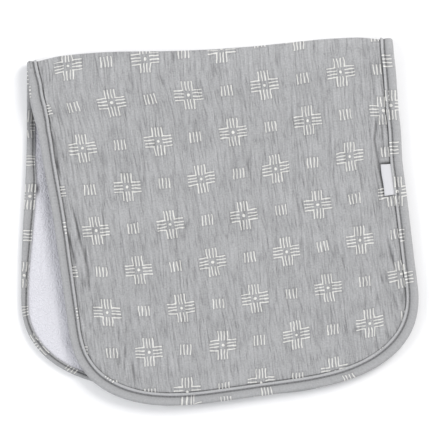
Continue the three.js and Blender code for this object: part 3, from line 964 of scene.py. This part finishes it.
class Shader:
    """One cloth material: its nodes, and sums with their sockets"""

    def __init__(self, name, roughness, sheen, sheen_roughness):
        self.material = bpy.data.materials.new(name)
        self.material.use_nodes = True
        self.nodes = self.material.node_tree.nodes
        self.links = self.material.node_tree.links
        self.surface = self.nodes["Principled BSDF"]
        set_inputs(self.surface, {
            "Roughness": roughness, "Sheen Weight": sheen, "Sheen Roughness": sheen_roughness,
            "Specular IOR Level": 0.2,
        })
        self.u, self.v, self.shade = self.attribute("flat")
        self.flat = (self.u, self.v)

    def attribute(self, name):
        """The three numbers of a vertex attribute"""
        node = self.nodes.new("ShaderNodeAttribute")
        node.attribute_name = name
        split = self.nodes.new("ShaderNodeSeparateXYZ")
        self.links.new(node.outputs["Vector"], split.inputs[0])
        return tuple(split.outputs)

    def put(self, socket, value):
        if isinstance(value, bpy.types.NodeSocket):
            self.links.new(value, socket)
        else:
            socket.default_value = value

    def math(self, operation, *values):
        node = self.nodes.new("ShaderNodeMath")
        node.operation = operation
        for socket, value in zip(node.inputs, values):
            self.put(socket, value)
        return node.outputs[0]

    def chain(self, operation, values):
        total = values[0]
        for value in values[1:]:
            total = self.math(operation, total, value)
        return total

    def add(self, *values):
        return self.chain("ADD", values)

    def minus(self, a, b):
        return self.math("SUBTRACT", a, b)

    def times(self, *values):
        return self.chain("MULTIPLY", values)

    def smooth(self, value, low, high, start=0.0, end=1.0):
        node = self.nodes.new("ShaderNodeMapRange")
        node.interpolation_type = "SMOOTHSTEP"
        names = ("Value", "From Min", "From Max", "To Min", "To Max")
        for name, number in zip(names, (value, low, high, start, end)):
            self.put(node.inputs[name], number)
        return node.outputs["Result"]

    def point(self, x, y):
        node = self.nodes.new("ShaderNodeCombineXYZ")
        self.put(node.inputs[0], x)
        self.put(node.inputs[1], y)
        return node.outputs[0]

    def noise(self, place, cells, seed, detail=1.0):
        """Noise of 0 to 1 at a place, with so many cells a millimetre across and along"""
        node = self.nodes.new("ShaderNodeTexNoise")
        x, y = (self.times(value, count) for value, count in zip(place, cells))
        self.put(node.inputs["Vector"], self.point(self.add(x, seed * 37.7), y))
        set_inputs(node, {"Scale": 1.0, "Detail": detail})
        return node.outputs["Fac"]

    def centred_noise(self, place, cells, seed, size):
        return self.times(self.minus(self.noise(place, cells, seed), 0.5), 2 * size)

    def mix(self, factor, first, second):
        node = self.nodes.new("ShaderNodeMix")
        node.data_type = "RGBA"
        self.put(node.inputs[0], factor)
        self.put(node.inputs[6], first)
        self.put(node.inputs[7], second)
        return node.outputs[2]

    def tinted(self, color, light):
        """A colour made lighter or darker by a number near 1"""
        node = self.nodes.new("ShaderNodeVectorMath")
        node.operation = "SCALE"
        self.put(node.inputs[0], color[:3])
        self.put(node.inputs["Scale"], light)
        return node.outputs[0]

    def finish(self, color, height, distance, strength):
        self.put(self.surface.inputs["Base Color"], color)
        bump = self.nodes.new("ShaderNodeBump")
        set_inputs(bump, {"Strength": strength, "Distance": distance})
        self.links.new(height, bump.inputs["Height"])
        self.links.new(bump.outputs[0], self.surface.inputs["Normal"])
        return self.material


def motif_mask(s, x, y, pitch):
    """Crosses of four strokes an arm and tally marks, turn and turn about, uneven as if by hand:
    where the ink lies, and where the cloth beside it is a little darker"""
    column = s.math("ROUND", s.times(x, 1 / pitch[0]))
    row = s.math("ROUND", s.times(y, 1 / pitch[1]))
    dice = s.nodes.new("ShaderNodeTexWhiteNoise")
    dice.noise_dimensions = "2D"
    s.links.new(s.point(column, row), dice.inputs["Vector"])
    throws = s.nodes.new("ShaderNodeSeparateColor")
    s.links.new(dice.outputs["Color"], throws.inputs[0])
    jitter = [s.minus(throws.outputs[k], 0.5) for k in range(3)]
    local_x = s.add(s.minus(x, s.times(column, pitch[0])), s.times(jitter[0], 0.4))
    local_y = s.add(s.minus(y, s.times(row, pitch[1])), s.times(jitter[1], 0.4))
    lean = s.times(jitter[2], 0.09)
    wobble_x = s.centred_noise((x, y), (0.3, 0.17), 3, 0.75)
    wobble_y = s.centred_noise((x, y), (0.17, 0.3), 4, 0.75)
    lx = s.add(local_x, s.times(local_y, lean), wobble_x)
    ly = s.add(local_y, s.times(local_x, lean, -1.0), wobble_y)
    ax, ay = s.math("ABSOLUTE", lx), s.math("ABSOLUTE", ly)
    ends = s.centred_noise((x, y), (0.5, 0.5), 5, 1.0)

    def strokes(near, far, spacing, start, stop):
        """Distance from four strokes that run along far and stand side by side along near"""
        beside = s.math("ABSOLUTE", s.minus(near, 2 * spacing))
        beside = s.minus(s.math("ABSOLUTE", s.minus(beside, spacing)), STROKE_HALF)
        middle, reach = (start + stop) / 2, (stop - start) / 2
        past = s.math("ABSOLUTE", s.minus(far, middle))
        past = s.minus(s.add(past, s.times(ends, 0.6)), reach)
        return s.math("MAXIMUM", beside, past)

    upright = strokes(ax, ay, ARM_SPACING, *ARM_REACH)
    level = strokes(ay, ax, ARM_SPACING, *ARM_REACH)
    dot = s.minus(s.math("SQRT", s.add(s.times(lx, lx), s.times(ly, ly))), DOT_RADIUS)
    cross = s.math("MINIMUM", s.math("MINIMUM", upright, level), dot)
    tally = strokes(ax, ay, TALLY_SPACING, -TALLY_REACH, TALLY_REACH)
    odd = s.times(s.math("FRACT", s.times(s.add(column, row), 0.5)), 2.0)
    even = s.minus(1.0, odd)
    distance = s.add(s.times(cross, even), s.times(tally, odd))
    fading = s.add(0.75, s.times(s.noise((x, y), (0.3, 0.3), 15), 0.5))
    ink = s.math("MINIMUM", s.times(s.smooth(distance, -0.2, 0.22, 1.0, 0.0), fading), 1.0)
    return ink, s.smooth(distance, 0.2, 1.3, 1.0, 0.0)


def weave(s, pitch):
    """Heights of a plain weave of uneven threads, 0 to 1"""
    turn = 2 * math.pi / pitch
    drift_u = s.centred_noise(s.flat, (0.9, 0.12), 6, 1.1)
    drift_v = s.centred_noise(s.flat, (0.12, 0.9), 7, 1.1)
    warp = s.math("SINE", s.add(s.times(s.u, turn), drift_u))
    weft = s.math("SINE", s.add(s.times(s.v, turn), drift_v))
    return s.add(s.times(warp, weft, 0.25), 0.5)


def painted_crease_shade(s):
    """How dark the painted shade is along the thin broken creases of the gauze and the pressed creases,
    with the label's painted shadow, which comes in with the pressed ones; the binding has none
    """
    total = 0.0
    patterns = zip(s.attribute("gathers"), CREASE_WIDTHS, CREASE_DARKNESS, (16, 17, 18))
    for pattern, width, depth, seed in patterns:
        line = s.smooth(s.math("ABSOLUTE", pattern), 0.0, width, 1.0, 0.0)
        broken = s.smooth(s.noise(s.flat, (0.2, 0.09), seed), 0.35, 0.6)
        total = s.add(s.times(line, broken, depth), total)
    nearest, deepness, _ = s.attribute("pressed")
    return s.add(total, s.times(s.smooth(nearest, 0.1, 1.0, 1.0, 0.0), deepness, 0.3))


def seam_line(s, from_seam):
    """Painted shade: how dark the binding is along its stitches and the gauze along the binding's lip"""
    near = s.smooth(s.math("ABSOLUTE", from_seam), 0.1, 0.95, 1.0, 0.0)
    return s.times(near, s.add(0.3, s.times(s.noise(s.flat, (0.5, 0.5), 19), 0.5)))


def printed_cotton(name, pitch, streaks, mottle):
    """Grey cotton with its print: streaks along the cloth, and mottle in both directions"""
    s = Shader(name, 0.95, 0.12, 0.5)
    x, y, from_seam = s.attribute("printed")
    mask, rim = motif_mask(s, x, y, pitch)
    threads = weave(s, 0.7)
    slub_along = s.noise(s.flat, (1.9, 0.16), 8, 2.0)
    slub_across = s.noise(s.flat, (0.8, 0.95), 9, 0.0)
    light = s.add(
        1.0 - 0.5 * (streaks + mottle) + 0.04,
        s.times(slub_along, streaks),
        s.times(slub_across, mottle),
    )
    # Painted shade: in the creases, beside the label, and along the stitches and the binding's lip
    creases = painted_crease_shade(s)
    beside_seam = s.minus(1.0, seam_line(s, from_seam))
    beside_ink = s.add(1.0, s.times(rim, -0.16))
    ground = s.tinted(GREY, s.times(light, s.minus(1.0, creases), beside_seam, beside_ink, s.shade))
    ink_light = s.add(0.88, s.times(threads, 0.08), s.times(slub_along, 0.16))
    ink = s.tinted(INK, s.times(ink_light, s.shade))
    cover = s.times(mask, s.add(0.88, s.times(threads, 0.12)))
    height = s.add(s.times(threads, 0.35), s.times(slub_along, 1.2), s.times(slub_across, 0.6))
    height = s.add(height, s.times(creases, -3.0))
    return s.finish(s.mix(cover, ground, ink), height, 0.0006, 0.8)


def towelling():
    s = Shader("towelling", 1.0, 0.35, 0.6)
    cells = s.nodes.new("ShaderNodeTexVoronoi")
    s.links.new(s.point(s.times(s.u, 0.85), s.times(s.v, 0.75)), cells.inputs["Vector"])
    set_inputs(cells, {"Scale": 1.0})
    loops = s.smooth(cells.outputs["Distance"], 0.05, 0.75, 1.0, 0.0)
    fluff = s.noise(s.flat, (3.1, 2.7), 12, 2.0)
    rows = s.noise(s.flat, (0.5, 0.05), 13, 1.0)
    # The loops add painted shade: lighter on their tops, darker in the hollows between them
    light = s.add(0.86, s.times(loops, 0.09), s.times(fluff, 0.06), s.times(rows, 0.07))
    height = s.add(loops, s.times(fluff, 0.7))
    return s.finish(s.tinted(WHITE, s.times(light, s.shade)), height, 0.0006, 0.7)


def woven_tape():
    s = Shader("woven_tape", 0.6, 0.15, 0.3)
    ribs = s.math("SINE", s.times(s.v, 2 * math.pi / 0.5))
    satin = s.noise(s.flat, (0.8, 5.0), 14, 2.0)
    light = s.add(0.93, s.times(satin, 0.08), s.times(ribs, 0.015))
    return s.finish(s.tinted(TAPE, light), s.add(ribs, satin), 0.00012, 0.5)


def sewing_thread():
    s = Shader("sewing_thread", 0.7, 0.2, 0.3)
    place = s.nodes.new("ShaderNodeTexCoord")
    twist = s.nodes.new("ShaderNodeTexNoise")
    s.links.new(place.outputs["Object"], twist.inputs["Vector"])
    set_inputs(twist, {"Scale": 2600.0})
    light = s.add(0.9, s.times(twist.outputs["Fac"], 0.2))
    return s.finish(s.tinted(THREAD, light), twist.outputs["Fac"], 0.0001, 0.5)


def studio():
    """A pale floor, soft light from above, and the camera straight over the cloth"""
    size = 3.0
    mesh = bpy.data.meshes.new("floor")
    corners = [(-size, -size, 0), (size, -size, 0), (size, size, 0), (-size, size, 0)]
    mesh.from_pydata(corners, [], [(0, 1, 2, 3)])
    paper = bpy.data.materials.new("paper")
    paper.use_nodes = True
    set_inputs(paper.node_tree.nodes["Principled BSDF"], {
        "Base Color": (0.93, 0.93, 0.93, 1), "Roughness": 0.9, "Specular IOR Level": 0.1,
    })
    mesh.materials.append(paper)
    scene_object("floor", mesh)

    world = bpy.data.worlds.new("studio")
    world.use_nodes = True
    background = {"Color": (0.96, 0.97, 1.0, 1), "Strength": WORLD_LIGHT}
    set_inputs(world.node_tree.nodes["Background"], background)
    bpy.context.scene.world = world

    for name, place, width, power, tint in LAMPS:
        lamp = bpy.data.lights.new(name, "AREA")
        lamp.shape = "DISK"
        lamp.size = width
        lamp.energy = power
        lamp.color = tint
        holder = scene_object(name, lamp)
        holder.location = place
        holder.rotation_euler = (-holder.location).to_track_quat("-Z", "Y").to_euler()

    lens = bpy.data.cameras.new("camera")
    lens.sensor_width = 36.0
    lens.lens = lens.sensor_width * (CAMERA_HEIGHT - CAMERA_PLANE) / VIEW_WIDTH
    lens.clip_end = 20.0
    camera = scene_object("camera", lens)
    camera.location = (*CAMERA_AT, CAMERA_HEIGHT)
    camera.rotation_euler = (0.0, 0.0, -CAMERA_ROLL)
    bpy.context.scene.camera = camera
    bpy.context.scene.view_settings.view_transform = "Standard"


muslin = printed_cotton("printed_muslin", PRINT_PITCH, 0.26, 0.33)
strip_cotton = printed_cotton("printed_binding", STRIP_PITCH, 0.16, 0.25)
face = muslin_sheet(muslin)
lining = terry_sheet(towelling())
binding = binding_ring(strip_cotton)
stitches = stitching(sewing_thread())
label = label_loop(woven_tape())

for piece, slot_name in ((face, "muslin"), (lining, "terry"), (binding, "binding"),
                         (stitches, "binding"), (label, "label")):
    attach(piece, "root")
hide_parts("face_panel")
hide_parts("lining_panel")
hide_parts("edge_binding")
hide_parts("label")

studio()
